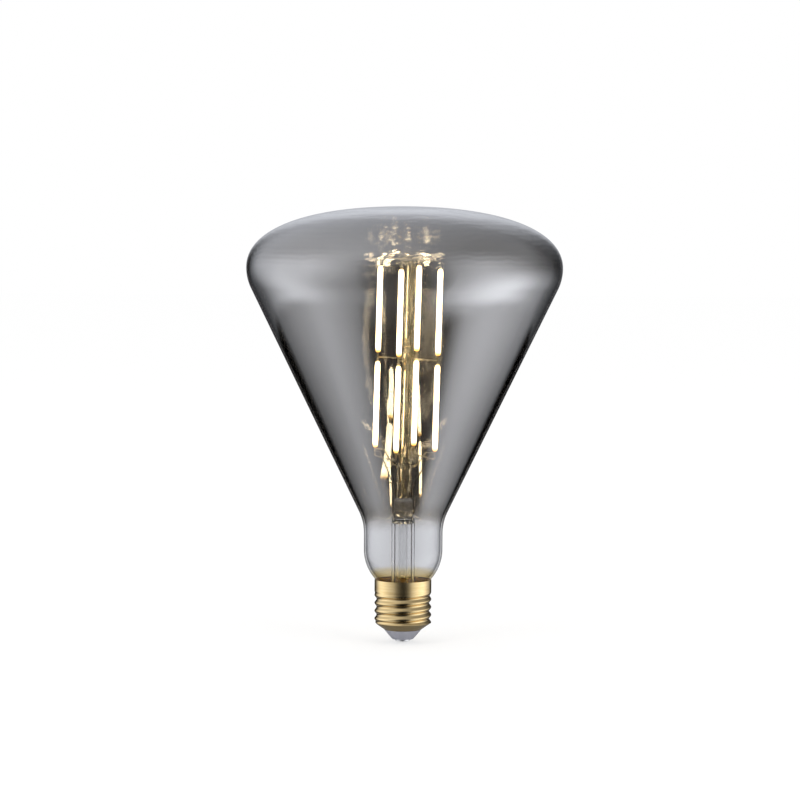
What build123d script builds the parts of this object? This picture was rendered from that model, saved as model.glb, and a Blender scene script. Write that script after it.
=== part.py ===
from build123d import *
import math
import os

# Smoked filament bulb, upright with the cap below. Millimetres, origin at the end face of the contact.

# Glass envelope
overall_height = 200.0
bulb_diameter = 145.0
dome_rise = 28.1
dome_fullness = 0.62
shoulder_radius = 22.0
neck_blend_radius = 23.0
neck_diameter = 36.2
neck_length = 7.4
neck_bulge_radius = 20.7
skirt_blend_radius = 2.5
skirt_depth = 6.9
glass_wall = 1.0

# Screw cap, rolled from sheet brass
thread_diameter = 26.2
thread_depth = 0.95
thread_pitch = 3.629
thread_turns = 4
collar_step = 0.05
collar_height = 5.4
sheet_thickness = 0.35
shell_cone_height = 3.2
shell_mouth_diameter = 17.0

# Insulator and centre contact
insulator_height = 4.4
insulator_foot_diameter = 9.6
insulator_flange_reach = 2.6
insulator_recess_diameter = 8.0
insulator_floor = 2.2
contact_diameter = 7.0
contact_height = 0.9
contact_edge = 0.3
nail_diameter = 1.8
nail_length = 5.0

# Basing cement
cement_lift = 0.28
cement_drop = 0.6

# Stem: flare, tube and press in one piece of glass
stem_rise = 28.6
stem_diameter = 10.7
stem_wall = 1.0
stem_shoulder = 1.5
stem_roof = 1.5
flare_run = 1.478
flare_angle = 50.0
flare_lip = 1.0
flare_lip_width = 2.0
press_width = 10.7
press_thickness = 7.4
press_height = 9.3
press_edge = 1.0

# Exhaust tube
exhaust_diameter = 4.6
exhaust_bore = 3.0
exhaust_reach = 13.4
vent_diameter = 1.6
vent_rise = 1.6

# Light source: it stands on the press and leans a little to the right and to the front
lean_right = 1.45
lean_front = 3.2
arbor_diameter = 6.6
arbor_height = 16.1
arbor_rim_step = 0.7
arbor_rim_height = 2.7
socket_depth = 1.0
post_diameter = 4.6
button_diameter = 6.8
button_height = 3.6
bead_diameter = 6.2
bead_height = 3.6
bead_taper = 0.8

# Filaments: two tiers of four round the post
columns = 4
cage_turn = -16.7
cage_radius = 14.3
cage_base = 22.2
filament_diameter = 2.4
filament_tip_length = 1.2
filament_tip_diameter = 1.5
tier_gap = 4.0
tab_length = 2.2
tab_width = 1.0
tab_thickness = 0.4

# Wires
wire_diameter = 0.6
wire_bend = 0.7
wire_embed = 1.4
top_wire_rise = 1.4
joining_wire_drop = 1.5
lead_straight = 4.2
lead_run_in = 2.0
lead_weld = 0.6
brace_weld = 1.6
brace_run_in = 4.0

# Driver in the cap
board_inset = 0.8
board_thickness = 1.0
capacitor_diameter = 6.3
capacitor_height = 9.0
rectifier_length = 4.7
rectifier_width = 3.9
rectifier_height = 1.6
rectifier_offset = 6.2
regulator_length = 3.6
regulator_width = 2.8
regulator_height = 1.4
regulator_offset = 5.4
fuse_diameter = 2.2
fuse_length = 5.5
fuse_offset = 6.6
live_wire_offset = 2.6
live_wire_weld = 0.4
return_wire_jog = 3.05
return_wire_step = 2.6
return_wire_rise = 6.0

# Clearances
seal_gap = 0.02
fit_gap = 0.05
skirt_gap = 0.4
rim_gap = 0.05
lead_gap = 0.15
capacitor_gap = 0.55
crown_gap = 21.084

# Heights and radii that follow
insulator_foot = contact_height
shell_mouth = insulator_foot + insulator_height
thread_bottom = shell_mouth + shell_cone_height
thread_top = thread_bottom + thread_turns * thread_pitch
cap_top = thread_top + collar_height
collar_diameter = thread_diameter - 2 * collar_step
neck_bulge_centre = neck_diameter / 2 - neck_bulge_radius
rim_reach = collar_diameter / 2 - sheet_thickness - rim_gap - neck_bulge_centre
neck_bulge_height = math.sqrt(neck_bulge_radius**2 - rim_reach**2)
neck_bottom = cap_top + neck_bulge_height
neck_top = neck_bottom + neck_length
widest_height = overall_height - dome_rise
skirt_diameter = thread_diameter - 2 * (thread_depth + sheet_thickness + skirt_gap)
seal_height = cap_top - skirt_depth
press_bottom = cap_top + stem_rise
press_top = press_bottom + press_height
flare_reach = skirt_diameter / 2 - glass_wall - stem_diameter / 2 - flare_run
flare_bend_radius = flare_reach / (1 - math.cos(math.radians(flare_angle)))
arbor_rim_diameter = arbor_diameter + 2 * arbor_rim_step
wire_radius = wire_diameter / 2
lead_offset = stem_diameter / 2 - stem_wall - lead_gap - wire_radius
capacitor_offset = exhaust_diameter / 2 + capacitor_gap + capacitor_diameter / 2
cage = Pos(0, 0, press_top) * Rot(lean_front, lean_right, 0)
button_rise = tab_length + top_wire_rise + button_height / 2
cage_room = overall_height - glass_wall - crown_gap - press_top - cage_base
filament_length = (cage_room - tier_gap - button_rise) / 2
upper_base = cage_base + filament_length + tier_gap
cage_top = upper_base + filament_length
joint_height = upper_base - tier_gap / 2
top_wire_height = cage_top + tab_length + top_wire_rise
tab_face = cage_radius - tab_thickness / 2
shell_run = thread_diameter / 2 - shell_mouth_diameter / 2
shell_slope = math.hypot(shell_run, shell_cone_height)
shell_normal = (-shell_cone_height / shell_slope, shell_run / shell_slope)
shell_uphill = (shell_run / shell_slope, shell_cone_height / shell_slope)


def turned(*edges):
    """A solid of revolution about the bulb's axis from a closed half section."""
    section = make_face(Curve() + list(edges))
    return revolve(Plane.XZ * section, Axis.Z)


def turned_points(points):
    """A solid of revolution from the corners of its half section."""
    return turned(Polyline(*points, close=True))


def round_wire(points, bend=wire_bend):
    """A round wire along straight runs joined by small bends."""
    path = FilletPolyline(*points, radius=bend)
    return sweep(Plane(origin=path @ 0, z_dir=path % 0) * Circle(wire_radius), path=path)


def rod(start, direction, length, radius):
    """A straight round bar from a point along a direction."""
    return extrude(Plane(origin=start, z_dir=direction) * Circle(radius), amount=length)


def column(number):
    """The place of one filament column: its X points outwards from the post."""
    return cage * Rot(0, 0, cage_turn + number * 360 / columns)


def column_point(number, out, height):
    """A point of one column, given by its distance from the post and its height."""
    return (column(number) * Pos(out, 0, height)).position


def bulb_body(inset):
    """The bulb's outer form, or the form of its hollow when inset is the wall."""
    dome_width = bulb_diameter / 2 - inset
    dome_height = dome_rise - inset
    neck = neck_diameter / 2 - inset
    skirt = skirt_diameter / 2 - inset
    shoulder = shoulder_radius - inset
    blend = neck_blend_radius + inset
    bulge = neck_bulge_radius - inset
    foot = skirt_blend_radius + inset

    # The cone is the straight line that touches both the shoulder and the blend into the neck.
    shoulder_x = bulb_diameter / 2 - shoulder_radius
    blend_x = neck_diameter / 2 + neck_blend_radius
    span_x = shoulder_x - blend_x
    span_z = widest_height - neck_top
    touch = (shoulder_radius + neck_blend_radius) / math.hypot(span_x, span_z)
    cone = math.atan2(span_x, span_z) + math.asin(touch)
    cone_top = (shoulder_x + shoulder * math.cos(cone), widest_height - shoulder * math.sin(cone))
    cone_end = (blend_x - blend * math.cos(cone), neck_top + blend * math.sin(cone))
    cone_mid = cone / 2
    shoulder_mid = (shoulder_x + shoulder * math.cos(cone_mid), widest_height - shoulder * math.sin(cone_mid))
    blend_mid = (blend_x - blend * math.cos(cone_mid), neck_top + blend * math.sin(cone_mid))

    # The bulge below the neck runs into the straight skirt through a small hollow curve.
    foot_x = skirt_diameter / 2 + skirt_blend_radius
    turn = math.acos((foot_x - neck_bulge_centre) / (neck_bulge_radius + skirt_blend_radius))
    foot_z = neck_bottom - (neck_bulge_radius + skirt_blend_radius) * math.sin(turn)
    bulge_end = (neck_bulge_centre + bulge * math.cos(turn), neck_bottom - bulge * math.sin(turn))
    half_turn = turn / 2
    bulge_mid = (neck_bulge_centre + bulge * math.cos(half_turn), neck_bottom - bulge * math.sin(half_turn))
    foot_mid = (foot_x - foot * math.cos(half_turn), foot_z + foot * math.sin(half_turn))

    apex = (0, widest_height + dome_height)
    widest = (dome_width, widest_height)
    crown_handle = (dome_fullness * dome_width, widest_height + dome_height)
    rim_handle = (dome_width, widest_height + dome_fullness * dome_height)
    return turned(
        Bezier(apex, crown_handle, rim_handle, widest),
        ThreePointArc(widest, shoulder_mid, cone_top),
        Line(cone_top, cone_end),
        ThreePointArc(cone_end, blend_mid, (neck, neck_top)),
        Line((neck, neck_top), (neck, neck_bottom)),
        ThreePointArc((neck, neck_bottom), bulge_mid, bulge_end),
        ThreePointArc(bulge_end, foot_mid, (skirt, foot_z)),
        Polyline((skirt, foot_z), (skirt, seal_height), (0, seal_height), apex),
    )


def glass_envelope():
    """Thin blown bulb: shallow dome, long cone, short neck and a skirt inside the cap."""
    return bulb_body(0) - bulb_body(glass_wall)


def stem_section(offset):
    """Points of the flare and tube surface, shifted inwards from the outer face by an offset."""
    bend = flare_bend_radius + offset
    tube = stem_diameter / 2 - offset
    bend_x = stem_diameter / 2 + flare_bend_radius
    angle = math.radians(flare_angle)
    mouth_x = skirt_diameter / 2 - glass_wall - offset * math.cos(angle)
    bend_z = seal_height + flare_run / math.tan(angle) + flare_bend_radius * math.sin(angle)
    start = (tube, bend_z)
    middle = (bend_x - bend * math.cos(angle / 2), bend_z - bend * math.sin(angle / 2))
    end = (bend_x - bend * math.cos(angle), bend_z - bend * math.sin(angle))
    mouth = (mouth_x, seal_height - offset * math.sin(angle))
    return start, middle, end, mouth


def stem():
    """Flared glass tube that closes in a flat press, with the holes for what is sealed into it."""
    start, middle, end, mouth = stem_section(0)
    start_in, middle_in, end_in, mouth_in = stem_section(stem_wall)
    tube = stem_diameter / 2
    bore = tube - stem_wall
    roof = press_bottom - stem_roof
    shoulder = press_bottom - stem_shoulder
    lip_out = skirt_diameter / 2
    lip_in = lip_out - flare_lip_width
    lip_z = seal_height - flare_lip
    diagonal = stem_shoulder * math.sqrt(0.5)
    shoulder_mid = (tube - stem_shoulder + diagonal, shoulder + diagonal)
    shell = turned(
        Line((0, press_bottom), (tube - stem_shoulder, press_bottom)),
        ThreePointArc((tube - stem_shoulder, press_bottom), shoulder_mid, (tube, shoulder)),
        Line((tube, shoulder), start),
        ThreePointArc(start, middle, end),
        Polyline(end, mouth, mouth_in, end_in),
        ThreePointArc(end_in, middle_in, start_in),
        Polyline(start_in, (bore, roof), (0, roof), (0, press_bottom)),
    )
    lip = turned_points([(lip_in, lip_z), (lip_out, lip_z), (lip_out, seal_height), (lip_in, seal_height)])
    hollow = stem_hollow(start_in, middle_in, end_in, mouth_in)
    press_foot = Pos(0, 0, press_bottom - stem_roof / 2) * SlotOverall(press_width, press_thickness)
    press = extrude(press_foot, amount=press_height + stem_roof / 2)
    press = chamfer(press.edges().group_by(Axis.Z)[-1], press_edge)
    body = shell + (lip - hollow) + press
    socket = rod((0, 0, -socket_depth - seal_gap), (0, 0, 1), 2 * socket_depth, arbor_diameter / 2 + seal_gap)
    vent = rod((0, 0, press_bottom - 2 * stem_roof), (0, 0, 1), 2 * stem_roof + vent_rise, exhaust_bore / 2)
    side = rod((0, 0, press_bottom + vent_rise), (0, 1, 0), press_thickness, vent_diameter / 2)
    body = body - cage * socket - vent - side
    for way in (-1, 1):
        passage = rod((way * lead_offset, 0, seal_height), (0, 0, 1), press_top, wire_radius + seal_gap)
        body = body - passage
    return body


def stem_hollow(start_in, middle_in, end_in, mouth_in):
    """The space inside the flare, which the lip must leave free."""
    floor = seal_height - 2 * flare_lip - stem_wall
    return turned(
        ThreePointArc(start_in, middle_in, end_in),
        Polyline(end_in, mouth_in, (mouth_in[0], floor), (0, floor), (0, start_in[1]), start_in),
    )


def exhaust_tube():
    """Thin glass tube from the press down into the cap, melted shut at its lower end."""
    radius = exhaust_diameter / 2
    bore = exhaust_bore / 2
    tip = cap_top - exhaust_reach
    top = press_bottom - stem_roof
    wall = radius - bore
    diagonal = radius * math.sqrt(0.5)
    return turned(
        ThreePointArc((0, tip), (diagonal, tip + radius - diagonal), (radius, tip + radius)),
        Polyline((radius, tip + radius), (radius, top), (bore, top), (bore, tip + radius + wall),
                 (0, tip + 2 * wall), (0, tip)),
    )


def stem_arbor():
    """Short glass tube fused on the press, with a thick rim that holds the lower wires."""
    radius = arbor_diameter / 2
    rim = arbor_rim_diameter / 2
    bore = post_diameter / 2 + seal_gap
    rim_base = arbor_height - arbor_rim_height
    step = rim - radius
    body = turned_points([
        (bore, -socket_depth), (radius, -socket_depth), (radius, rim_base - step), (rim, rim_base),
        (rim, arbor_height - step), (rim - step, arbor_height), (bore, arbor_height),
    ])
    for number in range(columns):
        body = body - bottom_wire_form(number, seal_gap)
    return cage * body


def support_post():
    """Long glass post with a bead at mid height and a button on top for the wires."""
    radius = post_diameter / 2
    bead = bead_diameter / 2
    button = button_diameter / 2
    bead_low = joint_height - bead_height / 2
    bead_high = joint_height + bead_height / 2
    button_low = top_wire_height - button_height / 2
    button_high = top_wire_height + button_height / 2
    body = turned_points([
        (0, -socket_depth), (radius, -socket_depth), (radius, bead_low - bead_taper),
        (bead, bead_low + bead_taper), (bead, bead_high - bead_taper), (radius, bead_high + bead_taper),
        (radius, button_low - bead_taper), (button, button_low + bead_taper),
        (button, button_high - bead_taper), (button - bead_taper, button_high), (0, button_high),
    ])
    for number in range(columns):
        out = Rot(0, 0, cage_turn + number * 360 / columns)
        hole = wire_radius + seal_gap
        top = rod((button - wire_embed - seal_gap, 0, top_wire_height), (1, 0, 0), button_diameter, hole)
        middle = rod((bead - wire_embed - seal_gap, 0, joint_height), (1, 0, 0), bead_diameter, hole)
        body = body - out * top - out * middle
    return cage * body


def filament(number, base):
    """One stick of phosphor-covered chips with tapered ends."""
    radius = filament_diameter / 2
    tip = filament_tip_diameter / 2
    stick = turned_points([
        (0, base), (tip, base), (radius, base + filament_tip_length),
        (radius, base + filament_length - filament_tip_length), (tip, base + filament_length),
        (0, base + filament_length),
    ])
    return column(number) * Pos(cage_radius, 0, 0) * stick


def end_tabs(number, base, below, above):
    """The two flat metal ends of one filament."""
    low = Pos(cage_radius, 0, base - below / 2) * Box(tab_thickness, tab_width, below)
    high_middle = base + filament_length + above / 2
    high = Pos(cage_radius, 0, high_middle) * Box(tab_thickness, tab_width, above)
    return column(number) * Compound([low, high])


def top_wire(number):
    """Wire from the button out and down to the top of one column."""
    start = (button_diameter / 2 - wire_embed, 0, top_wire_height)
    corner = (cage_radius, 0, top_wire_height)
    end = (cage_radius, 0, cage_top + tab_length)
    return column(number) * round_wire([start, corner, end])


def middle_wire(number):
    """Straight wire from the bead to the joint between the two filaments of one column."""
    start = bead_diameter / 2 - wire_embed
    return column(number) * rod((start, 0, joint_height), (1, 0, 0), tab_face - start, wire_radius)


def bottom_wire_form(number, grown):
    """Wire from the arbor's rim out and up to the foot of one column, before it is leaned."""
    height = arbor_height - arbor_rim_height / 2
    weld = cage_base - tab_length + brace_weld
    start = (arbor_rim_diameter / 2 - wire_embed + wire_diameter - grown, 0, height)
    turn = (arbor_rim_diameter / 2 + wire_embed, 0, height)
    rise = (tab_face - brace_run_in, 0, weld)
    path = FilletPolyline(start, turn, rise, (tab_face, 0, weld), radius=wire_bend)
    section = Plane(origin=path @ 0, z_dir=path % 0) * Circle(wire_radius + grown)
    return Rot(0, 0, cage_turn + number * 360 / columns) * sweep(section, path=path)


def bottom_wire(number):
    """Wire that holds the foot of one column to the arbor."""
    return cage * bottom_wire_form(number, 0)


def joining_wire(first, second):
    """Wire under two neighbouring columns that feeds both from one lead."""
    foot = cage_base - tab_length
    low = foot - joining_wire_drop
    points = [
        column_point(first, cage_radius, foot), column_point(first, cage_radius, low),
        column_point(second, cage_radius, low), column_point(second, cage_radius, foot),
    ]
    return round_wire(points)


def lead_wire(number, way):
    """Lead from the board up through the press and out to the foot of one column."""
    weld = cage_base - tab_length + lead_weld
    points = [
        (way * lead_offset, 0, board_top),
        (way * lead_offset, 0, press_top + lead_straight),
        column_point(number, tab_face - lead_run_in, weld),
        column_point(number, tab_face, weld),
    ]
    return round_wire(points)


def shell_outline():
    """Outer and inner outline of the rolled brass shell, from the collar down to the mouth."""
    crest = thread_diameter / 2
    root = crest - thread_depth
    outer = [(collar_diameter / 2, cap_top), (collar_diameter / 2, thread_top)]
    for turn in range(thread_turns):
        top = thread_top - turn * thread_pitch
        outer.append((root, top - 0.24 * thread_pitch))
        outer.append((root, top - 0.48 * thread_pitch))
        outer.append((crest, top - 0.74 * thread_pitch))
        outer.append((crest, top - thread_pitch))
    inner = [(x - sheet_thickness, z) for x, z in outer[:-1]]
    mouth = (shell_mouth_diameter / 2, shell_mouth)
    mouth_in = along(mouth, shell_normal, sheet_thickness)
    last_x = crest - sheet_thickness
    last_z = mouth_in[1] + (last_x - mouth_in[0]) * shell_uphill[1] / shell_uphill[0]
    return outer + [mouth], inner + [(last_x, last_z), mouth_in]


def along(point, direction, distance):
    """A point of a half section moved along a direction."""
    return (point[0] + direction[0] * distance, point[1] + direction[1] * distance)


def screw_shell():
    """Brass shell with rolled thread, plain collar and a cone that holds the insulator."""
    outer, inner = shell_outline()
    return turned_points(outer + inner[::-1])


def insulator():
    """Moulded plug that keeps contact and shell apart, seated in the shell's cone."""
    foot = insulator_foot_diameter / 2
    recess = insulator_recess_diameter / 2
    hole = nail_diameter / 2 + fit_gap
    mouth = (shell_mouth_diameter / 2, shell_mouth - fit_gap)
    edge = along(mouth, shell_normal, sheet_thickness + fit_gap)
    floor = insulator_foot + insulator_floor
    return turned_points([
        (hole, insulator_foot), (foot, insulator_foot), mouth, edge, flange_seat, flange_rim,
        (recess, board_base), (recess, floor), (hole, floor),
    ])


def centre_contact():
    """Flat contact with a nail that is pressed into the insulator."""
    radius = contact_diameter / 2
    nail = nail_diameter / 2
    return turned_points([
        (0, 0), (radius - contact_edge, 0), (radius, contact_edge), (radius, contact_height),
        (nail, contact_height), (nail, contact_height + nail_length), (0, contact_height + nail_length),
    ])


def basing_cement():
    """Ring of cement that fills the wedge between the glass and the collar."""
    inside = skirt_diameter / 2 + fit_gap
    outside = collar_diameter / 2 - sheet_thickness - fit_gap
    top = cap_top - cement_drop
    low = thread_top + cement_lift
    ring = turned_points([(inside, low), (outside, low), (outside, top), (inside, top)])
    return ring - bulb_body(-fit_gap)


def driver_board():
    """Round circuit board on the insulator's flange."""
    return Pos(0, 0, board_base + board_thickness / 2) * Cylinder(board_diameter / 2, board_thickness)


def on_board(angle, out, shape, height):
    """Places a component on the board's upper face."""
    return Rot(0, 0, angle) * Pos(out, 0, board_top + height / 2) * shape


def smoothing_capacitor():
    """Upright can that smooths the supply."""
    can = Cylinder(capacitor_diameter / 2, capacitor_height)
    return on_board(90, capacitor_offset, can, capacitor_height)


def bridge_rectifier():
    """Flat moulded block that turns alternating current into direct."""
    block = Box(rectifier_width, rectifier_length, rectifier_height)
    return on_board(-40, rectifier_offset, block, rectifier_height)


def current_regulator():
    """Small moulded chip that sets the current."""
    block = Box(regulator_width, regulator_length, regulator_height)
    return on_board(-140, regulator_offset, block, regulator_height)


def fuse_resistor():
    """Small lying resistor that also serves as the fuse."""
    body = Rot(90, 0, 0) * Cylinder(fuse_diameter / 2, fuse_length)
    return on_board(25, fuse_offset, body, fuse_diameter)


def live_wire():
    """Wire from the board's under face to the nail of the contact."""
    low = contact_height + nail_length - live_wire_weld
    points = [(live_wire_offset, 0, board_base), (live_wire_offset, 0, low), (nail_diameter / 2, 0, low)]
    return round_wire(points)


def return_wire():
    """Wire from the board's edge to the inside of the shell."""
    wall = thread_diameter / 2 - thread_depth - sheet_thickness - fit_gap - wire_radius
    foot = wall - return_wire_jog
    bend = board_top + return_wire_step
    points = [(-foot, 0, board_top), (-foot, 0, bend), (-wall, 0, bend), (-wall, 0, bend + return_wire_rise)]
    return round_wire(points)


flange_seat = along((shell_mouth_diameter / 2, shell_mouth), shell_normal, sheet_thickness + fit_gap)
flange_rim = along(flange_seat, shell_uphill, insulator_flange_reach)
board_base = flange_rim[1]
board_top = board_base + board_thickness
board_diameter = 2 * (flange_rim[0] - board_inset)
names = ["right", "back", "left", "front"]

pieces = {
    "glass_envelope": glass_envelope(),
    "stem": stem(),
    "exhaust_tube": exhaust_tube(),
    "stem_arbor": stem_arbor(),
    "support_post": support_post(),
    "joining_wire_left": joining_wire(2, 3),
    "joining_wire_right": joining_wire(0, 1),
    "lead_wire_left": lead_wire(2, -1),
    "lead_wire_right": lead_wire(0, 1),
    "screw_shell": screw_shell(),
    "insulator": insulator(),
    "centre_contact": centre_contact(),
    "basing_cement": basing_cement(),
    "driver_board": driver_board(),
    "smoothing_capacitor": smoothing_capacitor(),
    "bridge_rectifier": bridge_rectifier(),
    "current_regulator": current_regulator(),
    "fuse_resistor": fuse_resistor(),
    "live_wire": live_wire(),
    "return_wire": return_wire(),
}
for number, name in enumerate(names):
    pieces["upper_filament_" + name] = filament(number, upper_base)
    pieces["lower_filament_" + name] = filament(number, cage_base)
    pieces["upper_tabs_" + name] = end_tabs(number, upper_base, tier_gap / 2, tab_length)
    pieces["lower_tabs_" + name] = end_tabs(number, cage_base, tab_length, tier_gap / 2)
    pieces["top_wire_" + name] = top_wire(number)
    pieces["middle_wire_" + name] = middle_wire(number)
    pieces["bottom_wire_" + name] = bottom_wire(number)

os.makedirs("parts", exist_ok=True)
for node, shape in pieces.items():
    export_step(shape, "parts/" + node + ".step")
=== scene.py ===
import math

import bmesh
import bpy
from mathutils import Matrix, Vector
from mathutils.geometry import interpolate_bezier


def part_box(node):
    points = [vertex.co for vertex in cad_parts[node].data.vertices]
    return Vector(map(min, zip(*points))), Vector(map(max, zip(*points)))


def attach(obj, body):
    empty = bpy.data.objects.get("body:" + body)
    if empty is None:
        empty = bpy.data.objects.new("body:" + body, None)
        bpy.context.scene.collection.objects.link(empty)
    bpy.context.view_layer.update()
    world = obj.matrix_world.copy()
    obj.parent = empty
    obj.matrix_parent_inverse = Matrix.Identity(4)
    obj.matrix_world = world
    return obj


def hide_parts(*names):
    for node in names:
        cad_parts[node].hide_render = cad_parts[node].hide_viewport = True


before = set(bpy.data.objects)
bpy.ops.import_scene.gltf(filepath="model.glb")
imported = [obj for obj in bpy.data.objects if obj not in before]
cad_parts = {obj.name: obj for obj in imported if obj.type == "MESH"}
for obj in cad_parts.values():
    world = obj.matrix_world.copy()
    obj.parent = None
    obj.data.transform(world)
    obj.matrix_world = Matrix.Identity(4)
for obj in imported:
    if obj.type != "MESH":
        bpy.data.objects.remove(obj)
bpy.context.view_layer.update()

scene = bpy.context.scene

# Glass envelope: one thin blown bulb with a shallow dome, a long cone and a short neck, sealed to the stem
# inside the cap. Dome and cone have a grey half-mirror smoke coating that fades out above the neck, the
# mirror before the tint. The neck is clear, with a gold tint at its foot that is a painted reflection of the
# brass.
envelope_low, envelope_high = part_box("glass_envelope")
bulb_radius = envelope_high.x
dome_rise = 0.0281
dome_fullness = 0.62
widest_height = envelope_high.z - dome_rise
shoulder_radius = 0.022
neck_radius = 0.0181
neck_blend_radius = 0.023
neck_length = 0.0074
neck_bulge_radius = 0.0207
neck_bulge_centre = neck_radius - neck_bulge_radius
rim_radius = 0.01265
rim_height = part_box("screw_shell")[1].z
neck_bottom = rim_height + math.sqrt(neck_bulge_radius**2 - (rim_radius - neck_bulge_centre) ** 2)
neck_top = neck_bottom + neck_length
skirt_radius = 0.0114
skirt_blend_radius = 0.0025
seal_height = envelope_low.z
glass_wall = 0.001

smoke_range = (0.0528, 0.0675)
mirror_range = (0.0555, 0.0715)
# The gold tint of the glass near the neck's foot is a painted reflection of the brass collar.
brass_reflection_range = (0.0335, 0.0305)
clear_tint = (0.855, 0.857, 0.866, 1)
painted_brass_reflection = (0.80, 0.735, 0.57, 1)
smoke_tint = (0.56, 0.54, 0.51, 1)
edge_tint = (0.25, 0.245, 0.25, 1)
edge_depth = 0.25
smoke_edge_depth = 0.6
edge_falloff = 3
mirror_colour = (0.93, 0.94, 0.99, 1)
mirror_roughness = 0.006
clear_shine = 0.035
mirror_shine = 0.225
mirror_falloff = 5
cloud_scale = 38
cloud_drift = 0.006
ripple_scale = 60
ripple_strength = 0.035
ripple_depth = 0.001
band_scale = 140
band_waver = 4
band_range = (0.172, 0.178)
band_height = 3.0


def arc(centre, radius, start, end, count):
    """Points of a half section along a round stretch, angles in radians from the outward direction."""
    angles = [start + (end - start) * i / count for i in range(count + 1)]
    return [(centre[0] + radius * math.cos(a), centre[1] + radius * math.sin(a)) for a in angles]


def divide(first, last, count):
    """Points that divide a straight stretch of a half section, from the one after first up to last."""
    return [tuple(a + (b - a) * i / count for a, b in zip(first, last)) for i in range(1, count + 1)]


def bulb_outline(inset):
    """Half section of the bulb's outer face, or of its inner face when inset is the wall, from the top."""
    wide = bulb_radius - inset
    rise = dome_rise - inset
    apex = Vector((0, 0, widest_height + rise))
    crown = Vector((dome_fullness * wide, 0, widest_height + rise))
    rim = Vector((wide, 0, widest_height + dome_fullness * rise))
    widest = Vector((wide, 0, widest_height))
    dome = [(p.x, p.z) for p in interpolate_bezier(apex, crown, rim, widest, 40)]
    shoulder = (bulb_radius - shoulder_radius, widest_height)
    blend = (neck_radius + neck_blend_radius, neck_top)
    run = shoulder[0] - blend[0]
    drop = shoulder[1] - blend[1]
    cone = math.atan2(run, drop) + math.asin((shoulder_radius + neck_blend_radius) / math.hypot(run, drop))
    upper = arc(shoulder, shoulder_radius - inset, 0, -cone, count=10)
    lower = arc(blend, neck_blend_radius + inset, math.pi - cone, math.pi, count=10)
    slope = divide(upper[-1], lower[0], count=16)
    foot_x = skirt_radius + skirt_blend_radius
    reach = neck_bulge_radius + skirt_blend_radius
    turn = math.acos((foot_x - neck_bulge_centre) / reach)
    foot = (foot_x, neck_bottom - reach * math.sin(turn))
    swell = arc((neck_bulge_centre, neck_bottom), neck_bulge_radius - inset, 0, -turn, count=12)
    hollow = arc(foot, skirt_blend_radius + inset, math.pi - turn, math.pi, count=6)
    skirt = (skirt_radius - inset, seal_height)
    return dome + upper[1:] + slope + lower[1:] + swell + hollow[1:] + [skirt]


def lathe(outline, steps, closed=False):
    """A turned shape about the bulb's axis from the points of its half section."""
    bm = bmesh.new()
    points = [bm.verts.new((r, 0, z)) for r, z in outline]
    sides = [bm.edges.new(pair) for pair in zip(points, points[1:])]
    if closed:
        sides.append(bm.edges.new((points[-1], points[0])))
    full_turn = 2 * math.pi
    bmesh.ops.spin(
        bm, geom=points + sides, cent=(0, 0, 0), axis=(0, 0, 1), angle=full_turn, steps=steps, use_merge=True
    )
    bmesh.ops.remove_doubles(bm, verts=bm.verts, dist=1e-7)
    bmesh.ops.recalc_face_normals(bm, faces=bm.faces)
    return bm


def make_piece(name, bm, material, slot, *nodes):
    """Turns a finished bmesh into a piece that stands for its CAD nodes, smooth except at its corners."""
    mesh = bpy.data.meshes.new(name)
    bm.to_mesh(mesh)
    bm.free()
    mesh.materials.append(material)
    mesh.polygons.foreach_set("use_smooth", [True] * len(mesh.polygons))
    mesh.set_sharp_from_angle(angle=math.radians(38))
    obj = bpy.data.objects.new(name, mesh)
    scene.collection.objects.link(obj)
    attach(obj, "root")
    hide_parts(*nodes)


def new_finish(name):
    """A material with its node tree and its main shader at hand."""
    material = bpy.data.materials.new(name)
    material.use_nodes = True
    return material, material.node_tree, material.node_tree.nodes["Principled BSDF"]


def feed(tree, node, inputs):
    """Sets a node's inputs, each to a plain value or from another node's output."""
    for name, value in inputs.items():
        if isinstance(value, bpy.types.NodeSocket):
            tree.links.new(value, node.inputs[name])
        else:
            node.inputs[name].default_value = value


def add(tree, kind, inputs, **settings):
    """A new node with its settings and inputs. Gives back its outputs."""
    node = tree.nodes.new("ShaderNode" + kind)
    for name, value in settings.items():
        setattr(node, name, value)
    feed(tree, node, inputs)
    return node.outputs


def calc(tree, operation, *values):
    """A sum on outputs or plain numbers."""
    return add(tree, "Math", dict(enumerate(values)), operation=operation)["Value"]


def ease(tree, value, start, end, low=0.0, high=1.0, step="LINEAR"):
    """Leads a value that goes from start to end over to the range from low to high."""
    inputs = {"Value": value, "From Min": start, "From Max": end, "To Min": low, "To Max": high}
    return add(tree, "MapRange", inputs, interpolation_type=step)["Result"]


def mix(tree, share, first, second):
    """A colour between two others."""
    return add(tree, "Mix", {"Factor": share, "A": first, "B": second}, data_type="RGBA")["Result"]


def object_place(tree):
    """A point's place on the object."""
    return add(tree, "TexCoord", {})["Object"]


def noise(tree, place, scale, detail=2):
    """Soft random mottle."""
    return add(tree, "TexNoise", {"Vector": place, "Scale": scale, "Detail": detail})["Fac"]


def bump(tree, relief, strength, distance):
    """The surface's direction after a fine relief."""
    return add(tree, "Bump", {"Height": relief, "Strength": strength, "Distance": distance})["Normal"]


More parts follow.
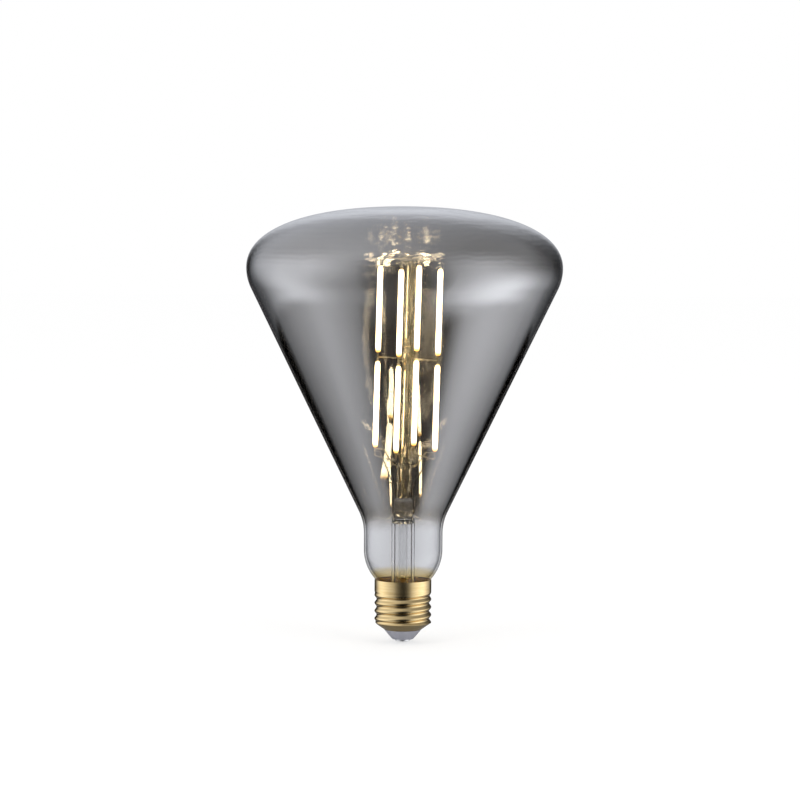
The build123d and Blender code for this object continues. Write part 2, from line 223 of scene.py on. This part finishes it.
smoke_glass, tree, shader = new_finish("smoked_blown_glass")
tree.nodes.remove(shader)
place = object_place(tree)
height = add(tree, "SeparateXYZ", {"Vector": place})["Z"]
drift = calc(tree, "MULTIPLY_ADD", noise(tree, place, cloud_scale), cloud_drift, height)
smoke = ease(tree, drift, *smoke_range, step="SMOOTHERSTEP")
mirror = ease(tree, drift, *mirror_range, step="SMOOTHERSTEP")
brass_reflection_share = ease(tree, height, *brass_reflection_range, step="SMOOTHSTEP")
facing = add(tree, "LayerWeight", {"Blend": 0.5})["Facing"]
tint = mix(tree, smoke, mix(tree, brass_reflection_share, clear_tint, painted_brass_reflection), smoke_tint)
depth = calc(tree, "MULTIPLY_ADD", smoke, smoke_edge_depth, edge_depth)
edge = calc(tree, "MULTIPLY", calc(tree, "POWER", facing, edge_falloff), depth)
front_shine = calc(tree, "MULTIPLY_ADD", mirror, mirror_shine, clear_shine)
rest = calc(tree, "SUBTRACT", 1.0, front_shine)
shine = calc(tree, "MULTIPLY_ADD", calc(tree, "POWER", facing, mirror_falloff), rest, front_shine)
wave = {"Vector": place, "Scale": band_scale, "Distortion": band_waver, "Detail": 1, "Detail Scale": 1}
bands = add(tree, "TexWave", wave, wave_type="BANDS", bands_direction="Z")["Fac"]
band_share = ease(tree, height, *band_range, high=band_height)
relief = calc(tree, "MULTIPLY_ADD", bands, band_share, noise(tree, place, ripple_scale, detail=1))
see = add(tree, "BsdfTransparent", {"Color": mix(tree, edge, tint, edge_tint)})["BSDF"]
ripples = bump(tree, relief, ripple_strength, ripple_depth)
coat = {"Color": mirror_colour, "Roughness": mirror_roughness, "Normal": ripples}
gloss = add(tree, "BsdfGlossy", coat)["BSDF"]
surface = add(tree, "MixShader", {"Fac": shine, 1: see, 2: gloss})["Shader"]
feed(tree, tree.nodes["Material Output"], {"Surface": surface})
envelope = lathe(bulb_outline(0) + bulb_outline(glass_wall)[::-1], steps=192)
make_piece("blown_bulb", envelope, smoke_glass, "smoked_glass", "glass_envelope")

# Stem: clear glass tube with a trumpet flare below and a flat press above, where the lead wires are
# sealed in. Flare, tube and press are one piece of glass, fused to the rim of the bulb's skirt. The jaws
# that pinched the press left waves in its faces.
stem_radius = 0.00535
stem_wall = 0.001
stem_shoulder = 0.0015
stem_roof = 0.0015
roof_corner = 0.0012
flare_bend = 0.010
flare_angle = math.radians(50)
press_width = 0.0107
press_thickness = 0.0074
press_height = 0.0093
press_gap = 0.0002
press_side_round = 0.0034
press_rim_round = 0.003
press_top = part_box("stem")[1].z
press_bottom = press_top - press_height
glass_colour = (0.99, 0.992, 0.995, 1)
glass_bend = 1.5
glass_roughness = 0.02
glass_wave = 0.0004


def worked_glass(name, scale, strength):
    """Clear glass with the faint waves that the flame and the jaws leave in its surface."""
    material, tree, shader = new_finish(name)
    swirl = noise(tree, object_place(tree), scale)
    feed(tree, shader, {
        "Base Color": glass_colour, "Transmission Weight": 1.0,
        "IOR": glass_bend, "Roughness": glass_roughness,
        "Normal": bump(tree, swirl, strength, glass_wave),
    })
    return material


clear_glass = worked_glass("clear_tube_glass", scale=420, strength=0.08)
pinched_glass = worked_glass("pinched_press_glass", scale=380, strength=1.0)


def stem_side(offset):
    """Half section of the stem's outer face, or its inner face when offset is the wall, from the top."""
    centre_x = stem_radius + flare_bend
    mouth_x = skirt_radius - glass_wall
    end_x = centre_x - flare_bend * math.cos(flare_angle)
    centre_z = seal_height + (mouth_x - end_x) / math.tan(flare_angle) + flare_bend * math.sin(flare_angle)
    curve = arc((centre_x, centre_z), flare_bend + offset, math.pi, math.pi + flare_angle, count=12)
    mouth = (mouth_x - offset * math.cos(flare_angle), seal_height - offset * math.sin(flare_angle))
    return curve + [mouth]


shoulder = (stem_radius - stem_shoulder, press_bottom - stem_shoulder)
ceiling = press_bottom - stem_roof
bore = stem_radius - stem_wall
outline = [(0, press_bottom)] + arc(shoulder, stem_shoulder, math.pi / 2, 0, count=6)
outline += stem_side(0) + stem_side(stem_wall)[::-1]
outline += [(bore, ceiling - roof_corner), (bore - roof_corner, ceiling), (0, ceiling)]
make_piece("stem_tube", lathe(outline, steps=64), clear_glass, "clear_glass", "stem")


def climb_of(edge):
    """How far an edge climbs from end to end."""
    return abs(edge.verts[0].co.z - edge.verts[1].co.z)


def is_rim(edge):
    """Whether a level edge lies between an upright face and a flat one."""
    if climb_of(edge) > 1e-6 or len(edge.link_faces) != 2:
        return False
    return abs(edge.link_faces[0].normal.z - edge.link_faces[1].normal.z) > 0.5


press = bmesh.new()
body_height = press_height - press_gap
bmesh.ops.create_cube(press, size=1)
bmesh.ops.scale(press, vec=(press_width, press_thickness, body_height), verts=press.verts)
uprights = [e for e in press.edges if climb_of(e) > body_height / 2]
bmesh.ops.bevel(
    press, geom=uprights, offset=press_side_round, segments=8, profile=0.5, affect="EDGES", material=-1
)
rims = [e for e in press.edges if is_rim(e)]
bmesh.ops.bevel(
    press, geom=rims, offset=press_rim_round, segments=6, profile=0.5, affect="EDGES", material=-1
)
bmesh.ops.translate(press, vec=(0, 0, press_top - body_height / 2), verts=press.verts)
make_piece("stem_press", press, pinched_glass, "clear_glass", "stem")

# Exhaust tube: narrow clear tube inside the stem, through which the bulb was emptied and filled.
# Its lower end is melted shut inside the cap, and its upper end is fused under the stem's roof.
exhaust_low, exhaust_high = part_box("exhaust_tube")
exhaust_radius = exhaust_high.x
exhaust_tip = exhaust_low.z
exhaust_bore = 0.0015
bore_point = 0.0016
bore_start = 0.0031
glass_gap = 0.0001
exhaust_end = exhaust_high.z - glass_gap
outline = arc((0, exhaust_tip + exhaust_radius), exhaust_radius, -math.pi / 2, 0, count=8)
outline += [(exhaust_radius, exhaust_end), (exhaust_bore, exhaust_end)]
outline += [(exhaust_bore, exhaust_tip + bore_start), (0, exhaust_tip + bore_point)]
make_piece("exhaust_tip_tube", lathe(outline, steps=40), clear_glass, "clear_glass", "exhaust_tube")

# Arbor: short clear tube fused on the press, with a thick rounded rim into which the lower wires are
# pressed while the glass is hot. From here up, the mount leans a little to the right and the front.
lean_front = math.radians(3.2)
lean_right = math.radians(1.45)
lean = Matrix.Translation((0, 0, press_top))
lean = lean @ Matrix.Rotation(lean_front, 4, "X") @ Matrix.Rotation(lean_right, 4, "Y")
arbor_radius = 0.0033
arbor_height = 0.0161
rim_reach = 0.004
rim_round = 0.0012
rim_drop = 0.0013
rim_start = 0.0124
post_radius = 0.0023
post_slip = 0.00006
socket_radius = post_radius + post_slip
rim_centre = (rim_reach - rim_round, arbor_height - rim_drop)
outline = [(socket_radius, glass_gap), (arbor_radius, glass_gap), (arbor_radius, rim_start)]
outline += arc(rim_centre, rim_round, -math.pi / 3, math.pi / 2, count=8)
outline += [(socket_radius, arbor_height - glass_gap)]
arbor = lathe(outline, steps=48, closed=True)
bmesh.ops.transform(arbor, matrix=lean, verts=arbor.verts)
make_piece("arbor_tube", arbor, clear_glass, "clear_glass", "stem_arbor")

# Support post: long glass rod that stands in the arbor, with a bead melted on at mid height and a
# flattened button on top, into which the wires are sealed. Its drawn glass has fine lengthwise streaks,
# which catch the light of the filaments and look faintly milky between them.
cage_base = 0.0222
filament_length = 0.040
tier_gap = 0.004
tab_length = 0.0022
top_wire_rise = 0.0014
upper_base = cage_base + filament_length + tier_gap
joint_height = upper_base - tier_gap / 2
top_wire_height = upper_base + filament_length + tab_length + top_wire_rise
bead_swell = [(0, 0.0026), (0.0004, 0.0020), (0.00075, 0.0010), (0.0008, 0)]
button_swell = [(0, 0.0026), (0.0005, 0.0020), (0.0010, 0.0011), (0.0011, 0)]
button_round = 0.0012
button_rise = 0.0006
button_crown = top_wire_height + button_rise
streak_scale = (900, 900, 40)
streak_roughness = (0.02, 0.16)
streak_strength = 0.1
milky_glass = (0.98, 0.93, 0.78, 1)
milky_streaks = (0.35, 0.60)
milky_range = (0.080, 0.100)
milkiness = 0.36

lit_glass, tree, shader = new_finish("lit_post_glass")
place = object_place(tree)
height = add(tree, "SeparateXYZ", {"Vector": place})["Z"]
streaks = noise(tree, add(tree, "Mapping", {"Vector": place, "Scale": streak_scale})["Vector"], 1.0)
haze = ease(tree, height, *milky_range, high=-milkiness)
feed(tree, shader, {
    "Base Color": milky_glass, "IOR": glass_bend,
    "Roughness": ease(tree, streaks, 0, 1, *streak_roughness),
    "Transmission Weight": calc(tree, "MULTIPLY_ADD", ease(tree, streaks, *milky_streaks), haze, 1.0),
    "Normal": bump(tree, streaks, streak_strength, glass_wave),
})
outline = [(0, glass_gap), (post_radius, glass_gap)]
outline += [(post_radius + swell, joint_height - away) for swell, away in bead_swell]
outline += [(post_radius + swell, joint_height + away) for swell, away in bead_swell[-2::-1]]
outline += [(post_radius + swell, top_wire_height - away) for swell, away in button_swell]
crown_centre = (outline[-1][0] - button_round, button_crown)
outline += arc(crown_centre, button_round, 0, math.pi / 2, count=5) + [(0, button_crown + button_round)]
post = lathe(outline, steps=40)
bmesh.ops.transform(post, matrix=lean, verts=post.verts)
make_piece("glass_post", post, lit_glass, "clear_glass", "support_post")

# Filaments: eight sticks of light-emitting chips under yellow phosphor silicone, in two tiers of four
# round the post. They are alight: warm white along the middle, amber at the tapered lower ends and paler
# at the upper ones.
cage_turn = math.radians(-16.7)
cage_radius = 0.0143
sides = ["right", "back", "left", "front"]
filament_radius = 0.0012
stick_end = [(0, 0), (0.0005, 0.00006), (0.0008, 0.0003), (0.00102, 0.0008), (0.00116, 0.0015)]
stick_end += [(filament_radius, 0.0024)]
stick_middle = [(filament_radius, z) for z in (0.006, 0.020, 0.034)]
glow_reach = 0.0026
upper_end_lead = 0.0014
amber = (0.9, 0.38, 0.03)
golden = (1.0, 0.66, 0.2)
warm_white = (1.0, 0.86, 0.56)
phosphor_colour = (0.95, 0.62, 0.12, 1)
end_glow = 3.0
full_glow = 34.0


def tones(tree, share, *marks):
    """A run of colours by share, from marks of a place and a colour."""
    node = tree.nodes.new("ShaderNodeValToRGB")
    elements = node.color_ramp.elements
    for _ in marks[2:]:
        elements.new(0.5)
    for element, (position, colour) in zip(elements, marks):
        element.position = position
        element.color = (*colour, 1)
    feed(tree, node, {"Fac": share})
    return node.outputs["Color"]


phosphor, tree, shader = new_finish("glowing_phosphor")
along = add(tree, "Attribute", {}, attribute_name="glow_share")["Fac"]
feed(tree, shader, {
    "Base Color": phosphor_colour, "Roughness": 0.6,
    "Emission Color": tones(tree, along, (0, amber), (0.35, golden), (1, warm_white)),
    "Emission Strength": ease(tree, along, 0, 1, end_glow, full_glow),
})


def filament_stick(tier, column, base):
    """One stick with rounded, tapered ends, in its place in the cage."""
    outline = stick_end + stick_middle + [(r, filament_length - z) for r, z in stick_end[::-1]]
    stick = lathe(outline, steps=20)
    share = stick.verts.layers.float.new("glow_share")
    for v in stick.verts:
        away = min(v.co.z, filament_length - v.co.z + upper_end_lead)
        v[share] = min(1.0, away / glow_reach)
    turn = Matrix.Rotation(cage_turn + column * math.pi / 2, 4, "Z")
    stand = Matrix.Translation((cage_radius, 0, base))
    bmesh.ops.transform(stick, matrix=lean @ turn @ stand, verts=stick.verts)
    node = tier + "_filament_" + sides[column]
    make_piece("stick_" + tier + "_" + sides[column], stick, phosphor, "phosphor", node)


for column in range(len(sides)):
    filament_stick("lower", column, cage_base)
    filament_stick("upper", column, upper_base)

# Tabs and wires of the light source: flat nickel tabs on the ends of the sticks, welded to thin bright
# wires that run to the button, the bead and the arbor's rim and join the feet of the columns in pairs.
nickel, tree, shader = new_finish("bright_nickel_wire")
grain = noise(tree, object_place(tree), 900)
feed(tree, shader, {
    "Metallic": 0.85,
    "Base Color": tones(tree, grain, (0, (0.60, 0.53, 0.40)), (1, (0.82, 0.74, 0.58))),
    "Roughness": ease(tree, grain, 0, 1, 0.22, 0.38),
})


def dress(node, material):
    """Gives a CAD node its finish."""
    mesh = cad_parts[node].data
    mesh.materials.clear()
    mesh.materials.append(material)


for side in sides:
    for kind in ("upper_tabs_", "lower_tabs_", "top_wire_", "middle_wire_", "bottom_wire_"):
        dress(kind + side, nickel)
dress("joining_wire_left", nickel)
dress("joining_wire_right", nickel)

# Lead wires: copper-coated wires that carry the current from the board up to the feet of two columns.
# They are dark brown below the press and grow lighter through it, up to a plain grey-brown above.
lightening_range = (0.050, 0.075)
lead_metal, tree, shader = new_finish("lead_wire_dark_below")
height = add(tree, "SeparateXYZ", {"Vector": object_place(tree)})["Z"]
upward_lightening = ease(tree, height, *lightening_range)
feed(tree, shader, {
    "Metallic": 1.0, "Roughness": 0.4,
    "Base Color": tones(tree, upward_lightening, (0, (0.10, 0.08, 0.07)), (1, (0.46, 0.42, 0.38))),
})
dress("lead_wire_left", lead_metal)
dress("lead_wire_right", lead_metal)

# Screw shell: thin sheet brass, drawn to a cup and rolled with a right-hand round thread under a plain
# collar. Its lower cone is crimped round the insulator.
shell_low, shell_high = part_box("screw_shell")
crest = shell_high.x
cap_top = shell_high.z
shell_mouth = shell_low.z
mouth_radius = 0.0085
cone_height = 0.0032
sheet = 0.00035
cone_lift = 0.0002
pitch = 0.003629
thread_turns = 4
thread_depth = 0.00095
thread_bottom = shell_mouth + cone_height
thread_top = thread_bottom + thread_turns * pitch
fade_in = 0.7 * pitch
run_out = 0.5 * pitch
run_out_drop = 0.0008
run_out_end = thread_bottom - run_out_drop

cap_brass, tree, shader = new_finish("rolled_cap_brass")
drawn = add(tree, "Mapping", {"Vector": object_place(tree), "Scale": (120, 120, 900)})["Vector"]
grain = noise(tree, drawn, 1.0, detail=4)
feed(tree, shader, {
    "Metallic": 1.0,
    "Base Color": tones(tree, grain, (0.3, (0.61, 0.445, 0.215)), (0.7, (0.68, 0.52, 0.28))),
    "Roughness": ease(tree, grain, 0, 1, 0.10, 0.24),
})

face = [(crest, cap_top)] + divide((crest, cap_top), (crest, thread_bottom), count=150)
face += divide((crest, thread_bottom), (mouth_radius, shell_mouth), count=6)
back = [(r - sheet, z + (cone_lift if z < thread_bottom else 0)) for r, z in face]
shell = lathe(face + back[::-1], steps=96, closed=True)
for v in shell.verts:
    climb = math.atan2(v.co.y, v.co.x) / (2 * math.pi) * pitch
    groove = 0.5 - 0.5 * math.cos(2 * math.pi * (v.co.z - thread_bottom - climb) / pitch)
    start = min(1.0, max(0.0, (thread_top - v.co.z) / fade_in))
    end = min(1.0, max(0.0, (v.co.z - run_out_end) / run_out))
    keep = 1 - thread_depth * groove * min(start, end) / math.hypot(v.co.x, v.co.y)
    v.co.x *= keep
    v.co.y *= keep
make_piece("threaded_shell", shell, cap_brass, "cap_brass", "screw_shell")

# Insulator: pale moulded plug between shell and contact, which keeps the two poles of the cap apart.
# The crimped cone of the shell holds it by its flange, and its hollow makes room for the live wire.
plug_foot = 0.0009
nail_hole = 0.00095
foot_reach = 0.0046
foot_round = 0.0005
flank = (0.0067, 0.0030)
crimp_edge = (0.0085, 0.00522)
crimp_groove = (0.00832, 0.0055)
flange_reach = 0.0103
plug_top = 0.0071
hollow_radius = 0.004
hollow_floor = 0.0031


def mottled_finish(name, low, high, roughness, scale):
    """A moulded, sleeved or sandy finish with a faint mottle."""
    material, tree, shader = new_finish(name)
    mottle = noise(tree, object_place(tree), scale)
    feed(tree, shader, {"Base Color": tones(tree, mottle, (0, low), (1, high)), "Roughness": roughness})
    return material


pale_plug = mottled_finish("pale_plug_moulding", (0.265, 0.27, 0.32), (0.32, 0.325, 0.375), 0.32, 300)
outline = [(nail_hole, plug_foot), (foot_reach, plug_foot)]
outline += arc((foot_reach, plug_foot + foot_round), foot_round, -math.pi / 2, -0.6, count=4)
outline += [flank, crimp_edge, crimp_groove, (flange_reach, plug_top), (hollow_radius, plug_top)]
outline += [(hollow_radius, hollow_floor), (nail_hole, hollow_floor)]
plug = lathe(outline, steps=64, closed=True)
make_piece("insulating_plug", plug, pale_plug, "insulator_ceramic", "insulator")

# Centre contact: tinned disc under the plug, made in one piece with its nail. The nail is driven into the
# plug and grips the live wire.
contact_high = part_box("centre_contact")[1]
disc_radius = contact_high.x
disc_round = 0.0006
disc_flat = 0.0028
nail_radius = 0.0009
nail_top = contact_high.z

tin, tree, shader = new_finish("tinned_contact")
scuff = noise(tree, object_place(tree), 700, detail=5)
feed(tree, shader, {
    "Metallic": 1.0,
    "Base Color": tones(tree, scuff, (0, (0.66, 0.66, 0.67)), (1, (0.86, 0.86, 0.87))),
    "Roughness": ease(tree, scuff, 0, 1, 0.2, 0.45),
})
outline = [(0, 0), (disc_flat, 0)]
outline += arc((disc_radius - disc_round, disc_round), disc_round, -math.pi / 2, 0, count=6)
outline += [(disc_radius, plug_foot), (nail_radius, plug_foot), (nail_radius, nail_top), (0, nail_top)]
make_piece("contact_nail", lathe(outline, steps=48), tin, "contact_metal", "centre_contact")

# Basing cement: ring of sandy cement, filled in between the glass skirt and the collar of the shell. Its
# light gold colour is partly the cement's own beige and partly a painted reflection of the brass collar,
# painted lighter than the shade inside the cap would leave it.
# It is baked hard and bonds the bulb to its cap.
cement = mottled_finish("basing_cement_painted_gold", (0.78, 0.58, 0.26), (0.92, 0.73, 0.38), 0.9, 1500)
dress("basing_cement", cement)

# Driver: a round green board on the plug's flange with its capacitor, rectifier, regulator and fuse
# resistor soldered on, and two wires to the nail and the shell. The cap hides it.
board_green, tree, shader = new_finish("green_board_lacquer")
tracks = add(tree, "TexVoronoi", {"Vector": object_place(tree), "Scale": 450})["Distance"]
feed(tree, shader, {
    "Base Color": tones(tree, tracks, (0, (0.03, 0.14, 0.06)), (1, (0.06, 0.24, 0.11))), "Roughness": 0.35,
})
black_sleeve = mottled_finish("capacitor_sleeve", (0.02, 0.02, 0.03), (0.04, 0.04, 0.05), 0.25, 400)
chip = mottled_finish("black_chip_moulding", (0.015, 0.015, 0.015), (0.035, 0.035, 0.035), 0.6, 900)
blue_lacquer = mottled_finish("resistor_lacquer", (0.22, 0.36, 0.42), (0.30, 0.46, 0.52), 0.4, 700)
wire_sleeve = mottled_finish("wire_sleeve", (0.62, 0.60, 0.56), (0.72, 0.70, 0.66), 0.4, 600)
dress("driver_board", board_green)
dress("smoothing_capacitor", black_sleeve)
dress("bridge_rectifier", chip)
dress("current_regulator", chip)
dress("fuse_resistor", blue_lacquer)
dress("live_wire", wire_sleeve)
dress("return_wire", wire_sleeve)

# Floor: a wide sheet of white paper, just under the contact. To the lens and through the glass it is
# nearly as white as the sky behind it, and it keeps the bulb's soft shadow.
floor_size = 6
floor_drop = 0.0008
floor_glow = 0.6
paper_colour = (0.99, 0.99, 0.99, 1)

white_floor, tree, shader = new_finish("white_floor")
tree.nodes.remove(shader)
path = add(tree, "LightPath", {})
seen = calc(tree, "MAXIMUM", path["Is Camera Ray"], path["Is Transmission Ray"])
paper = add(tree, "BsdfDiffuse", {"Color": paper_colour})["BSDF"]
white = add(tree, "Emission", {"Color": (1, 1, 1, 1)})["Emission"]
glow = calc(tree, "MULTIPLY", seen, floor_glow)
surface = add(tree, "MixShader", {"Fac": glow, 1: paper, 2: white})["Shader"]
feed(tree, tree.nodes["Material Output"], {"Surface": surface})


def set_up(name, bm, material):
    """Puts a piece of the studio in the scene."""
    mesh = bpy.data.meshes.new(name)
    bm.to_mesh(mesh)
    bm.free()
    mesh.materials.append(material)
    mesh.polygons.foreach_set("use_smooth", [True] * len(mesh.polygons))
    obj = bpy.data.objects.new(name, mesh)
    scene.collection.objects.link(obj)
    return obj


sheet_mesh = bmesh.new()
bmesh.ops.create_grid(sheet_mesh, x_segments=1, y_segments=1, size=floor_size)
bmesh.ops.translate(sheet_mesh, vec=(0, 0, -floor_drop), verts=sheet_mesh.verts)
floor = set_up("floor", sheet_mesh, white_floor)
floor.visible_glossy = False

# Light tent: a cloth ball round the bulb that shows only in reflections. Three rings of soft panels, for
# surfaces that face down, a little down and level, give glass and brass their bright sides, with dark
# gaps at the lens and behind the bulb. The top is pale, and the bottom stands for the floor's light.
tent_radius = 0.95
tent_middle = 0.1
tent_colour = (0.96, 0.98, 1, 1)

tent_cloth, tree, shader = new_finish("tent_cloth")
tree.nodes.remove(shader)
middle = (0, 0, tent_middle)
shift = add(tree, "VectorMath", {0: object_place(tree), 1: middle}, operation="SUBTRACT")["Vector"]
direction = add(tree, "VectorMath", {0: shift}, operation="NORMALIZE")["Vector"]
axes = add(tree, "SeparateXYZ", {"Vector": direction})
right = axes["X"]
away = axes["Y"]
up = axes["Z"]
turned = add(tree, "CombineXYZ", {"X": calc(tree, "MULTIPLY", away, -1), "Y": right})["Vector"]
round_about = add(tree, "TexGradient", {"Vector": turned}, gradient_type="RADIAL")["Fac"]


def spread(value, start, end, low, high):
    """A soft step of the tent's brightness between two values."""
    return ease(tree, value, start, end, low, high, step="SMOOTHSTEP")


def patch(towards, start, end, low, high):
    """A soft round patch of the tent in a direction from the bulb."""
    centre = Vector(towards).normalized()
    apart = add(tree, "VectorMath", {0: direction, 1: centre}, operation="DISTANCE")["Value"]
    return spread(apart, start, end, low, high)


def ring(peak, *marks):
    """Brightness of one ring of panels, from marks in degrees to the right of the lens."""
    node = tree.nodes.new("ShaderNodeValToRGB")
    node.color_ramp.interpolation = "CARDINAL"
    elements = node.color_ramp.elements
    for _ in marks[2:]:
        elements.new(0.5)
    for element, (degrees, grey) in zip(elements, marks):
        element.position = 0.5 + degrees / 360
        element.color = (grey / peak, grey / peak, grey / peak, 1)
    feed(tree, node, {"Fac": round_about})
    share = calc(tree, "MAXIMUM", node.outputs["Color"], 0)
    return calc(tree, "MULTIPLY", share, peak)


def over(lower, upper, share):
    """Goes from one brightness to the next by a share."""
    return calc(tree, "MULTIPLY_ADD", calc(tree, "SUBTRACT", upper, lower), share, lower)


low_ring = ring(
    1.3, (-141, 0), (-132, 0.29), (-92, 0.95), (-72, 1.0), (-45, 0.48), (-36, 0.05),
    (44, 0.05), (60, 0.86), (84, 1.3), (119, 0.8), (134, 0.43), (143, 0)
)
shoulder_ring = ring(
    2.6, (-150, 0.08), (-130, 0.55), (-100, 1.76), (-65, 1.06), (-36, 0.47), (-22, 0.15),
    (22, 0.15), (38, 1.0), (84, 2.5), (112, 1.34), (132, 0.5), (150, 0.08)
)
level_ring = ring(
    1.6, (-168, 0.12), (-150, 0.05), (-132, 0.88), (-103, 1.54), (-70, 1.56), (-34, 0.73), (-15, 0.15),
    (15, 0.15), (34, 0.75), (62, 1.18), (103, 0.52), (132, 0.13), (150, 0.05), (168, 0.12)
)
reach = calc(tree, "SQRT", calc(tree, "MULTIPLY_ADD", away, -2, 2))
tilt = calc(tree, "MULTIPLY_ADD", away, -0.035, calc(tree, "DIVIDE", up, reach))
low_ring = calc(tree, "MULTIPLY", low_ring, spread(tilt, -0.50, -0.40, 0.74, 1))
panels = over(low_ring, shoulder_ring, spread(tilt, -0.400, -0.380, 0, 1))
panels = over(panels, level_ring, spread(tilt, -0.30, 0.16, 0, 1))
top = calc(tree, "MAXIMUM", spread(right, -0.6, 0.6, 0.95, 0.45), spread(away, 0.3, 0.95, 0, 1))
top = calc(tree, "MULTIPLY", top, patch((0.605, 0.756, 0.252), 0.15, 0.6, 0.35, 1))
top_share = calc(tree, "MINIMUM", spread(tilt, 0.10, 0.58, 0, 1), spread(up, 0.08, 0.65, 0, 1))
cloth = over(panels, top, top_share)
cloth = calc(tree, "MAXIMUM", cloth, spread(tilt, -0.80, -0.60, 0.22, 0))
cloth = calc(tree, "ADD", cloth, patch((0, 0.97, 0.25), 0.15, 0.42, 0.45, 0))
lit_cloth = add(tree, "Emission", {"Color": tent_colour, "Strength": cloth})["Emission"]
feed(tree, tree.nodes["Material Output"], {"Surface": lit_cloth})
tent_cloth.cycles.emission_sampling = "NONE"
ball = bmesh.new()
bmesh.ops.create_uvsphere(ball, u_segments=48, v_segments=24, radius=tent_radius)
bmesh.ops.translate(ball, vec=middle, verts=ball.verts)
tent = set_up("light_tent", ball, tent_cloth)
tent.visible_camera = False
tent.visible_diffuse = False
tent.visible_shadow = False
tent.visible_transmission = False

# Sky and lamps: a plain white sky, and two soft boxes at the front, left and right of the lens. The lamps
# don't show in reflections, because the tent has its own panels for that.
world = bpy.data.worlds.new("studio")
scene.world = world
world.use_nodes = True
sky = world.node_tree.nodes["Background"]
feed(world.node_tree, sky, {"Color": (1, 1, 1, 1), "Strength": 1.0})


def soft_box(name, place, aim, size, power):
    """A square area lamp that looks at a point."""
    lamp = bpy.data.lights.new(name, "AREA")
    lamp.size = size
    lamp.energy = power
    obj = bpy.data.objects.new(name, lamp)
    obj.location = place
    obj.rotation_euler = (Vector(aim) - Vector(place)).to_track_quat("-Z", "Y").to_euler()
    scene.collection.objects.link(obj)
    obj.visible_glossy = False


soft_box("left_box", (-1.0, -0.9, 0.9), middle, 0.8, 4)
soft_box("right_box", (1.0, -0.9, 0.9), middle, 0.8, 4)

# Camera: a long lens at the photo's height and distance. It stands about level with the top of the dome
# and looks slightly down at the middle of the bulb.
distance = 1.4
rise = math.radians(3.5)
aim = Vector((-0.0018, 0, 0.1112))
roll = Matrix.Rotation(math.radians(0.3), 4, "Z")
sensor = 36
view_width = 0.36733
camera = bpy.data.objects.new("camera", bpy.data.cameras.new("camera"))
scene.collection.objects.link(camera)
camera.location = aim + Vector((0, -distance * math.cos(rise), distance * math.sin(rise)))
look = (aim - camera.location).to_track_quat("-Z", "Y").to_matrix().to_4x4()
camera.rotation_euler = (look @ roll).to_euler()
camera.data.sensor_width = sensor
camera.data.lens = sensor * distance / view_width
scene.camera = camera
scene.view_settings.view_transform = "Standard"
scene.cycles.transparent_max_bounces = 24
